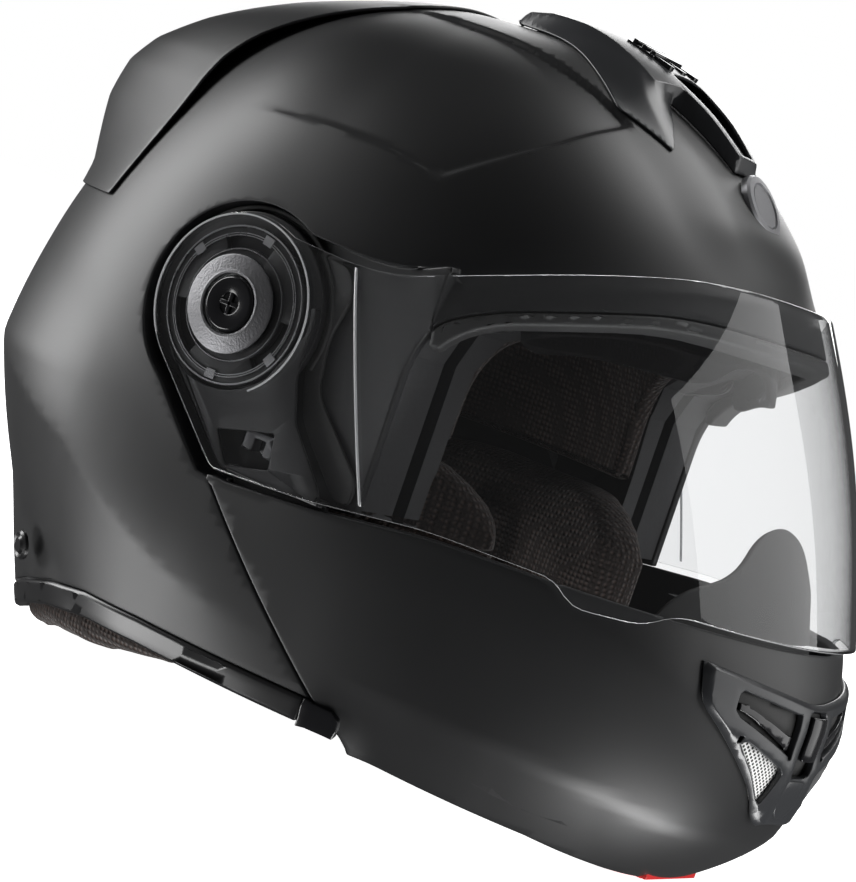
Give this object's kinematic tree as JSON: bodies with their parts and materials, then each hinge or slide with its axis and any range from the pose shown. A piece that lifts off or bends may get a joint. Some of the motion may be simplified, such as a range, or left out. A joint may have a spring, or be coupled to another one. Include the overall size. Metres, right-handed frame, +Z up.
{
  "type": "modular motorcycle helmet",
  "caption": "Flip-up full-face motorcycle helmet with a hinged chin bar, clear visor, drop-down sun visor, sliding vents, foam liner, spoiler and chin strap.",
  "frame": {"origin": "centre of the helmet's box in plan, on the surface that it rests on", "axes": "+Z up, -Y the way the face looks, -X the wearer's right, +Y towards the back of the head"},
  "size_m": [0.2456, 0.3342, 0.2588],
  "materials": {
    "matte_shell": "matte black lacquer with a soft sheen over a moulded shell",
    "foam": "black expanded foam with a fine bead texture",
    "lining": "brown-black mesh over soft padding",
    "satin_black": "satin black moulded plastic",
    "badge_grey": "dark grey disc with a satin raised rim",
    "gloss_black": "high gloss black",
    "seal_rubber": "matte soft rubber",
    "clear_visor": "clear polycarbonate, hard coated",
    "smoke_visor": "dark smoke polycarbonate",
    "steel": "satin steel",
    "webbing": "black woven polyester webbing",
    "release_red": "satin red plastic"
  },
  "bodies": {
    "helmet": {"outer_shell": "matte_shell", "eps_liner": "foam", "crown_liner": "lining", "cheek_pad_left": "lining", "cheek_pad_right": "lining", "neck_roll": "lining", "bottom_trim": "satin_black", "trim_end_left": "gloss_black", "trim_end_right": "gloss_black", "eyeport_gasket": "seal_rubber", "pivot_screw_left": "gloss_black", "pivot_screw_right": "gloss_black", "latch_pin_left": "steel", "latch_pin_right": "steel", "top_vent_cover": "gloss_black", "top_vent_grille": "satin_black", "rear_spoiler": "matte_shell", "emblem_badge": "badge_grey", "rear_snap_left": "steel", "rear_snap_right": "steel", "chin_strap_left": "webbing", "chin_strap_right": "webbing", "buckle_ring_outer": "steel", "buckle_ring_inner": "steel"},
    "chin_bar": {"chin_bar_shell": "matte_shell", "chin_bar_liner": "foam", "chin_bar_arm_left": "satin_black", "chin_bar_arm_right": "satin_black", "latch_hook_left": "steel", "latch_hook_right": "steel", "visor_gear_plate_left": "satin_black", "visor_gear_plate_right": "satin_black", "chin_vent_frame": "gloss_black", "chin_vent_mesh_left": "steel", "chin_vent_mesh_right": "steel", "breath_guard": "seal_rubber", "release_housing": "satin_black"},
    "visor": {"visor": "clear_visor", "visor_lock_ring_left": "steel", "visor_lock_ring_right": "steel"},
    "sun_visor": {"sun_visor": "smoke_visor"},
    "sun_visor_lever": {"sun_visor_lever": "satin_black"},
    "top_vent_slider": {"top_vent_slider": "gloss_black"},
    "chin_vent_slider": {"chin_vent_slider": "gloss_black"},
    "release_button": {"release_button": "release_red"}
  },
  "joints": [
    {"name": "chin_bar_lift", "type": "hinge", "parent": "helmet", "child": "chin_bar", "pos_m": [0, 0.02315, 0.135], "axis": [-1, 0, 0], "range_deg": [0, 75]},
    {"name": "visor_lift", "type": "hinge", "parent": "chin_bar", "child": "visor", "pos_m": [0, 0.02315, 0.135], "axis": [-1, 0, 0], "range_deg": [0, 34]},
    {"name": "sun_visor_drop", "type": "hinge", "parent": "helmet", "child": "sun_visor", "pos_m": [0, 0.02315, 0.135], "axis": [1, 0, 0], "range_deg": [0, 24]},
    {"name": "sun_visor_lever_slide", "type": "slide", "parent": "helmet", "child": "sun_visor_lever", "axis": [0, 1, 0], "range_m": [0, 0.016]},
    {"name": "top_vent_slide", "type": "slide", "parent": "helmet", "child": "top_vent_slider", "axis": [0, -0.9613, -0.2756], "range_m": [0, 0.006]},
    {"name": "chin_vent_slide", "type": "slide", "parent": "chin_bar", "child": "chin_vent_slider", "axis": [0, 0, -1], "range_m": [0, 0.005]},
    {"name": "release_press", "type": "slide", "parent": "chin_bar", "child": "release_button", "axis": [0, 0, 1], "range_m": [0, 0.003], "stiffness_N_per_m": 400, "springref_m": -0.001}
  ],
  "couplings": [
    {"joint": "sun_visor_lever_slide", "follows": "sun_visor_drop", "m_per_rad": 0.038159}
  ]
}
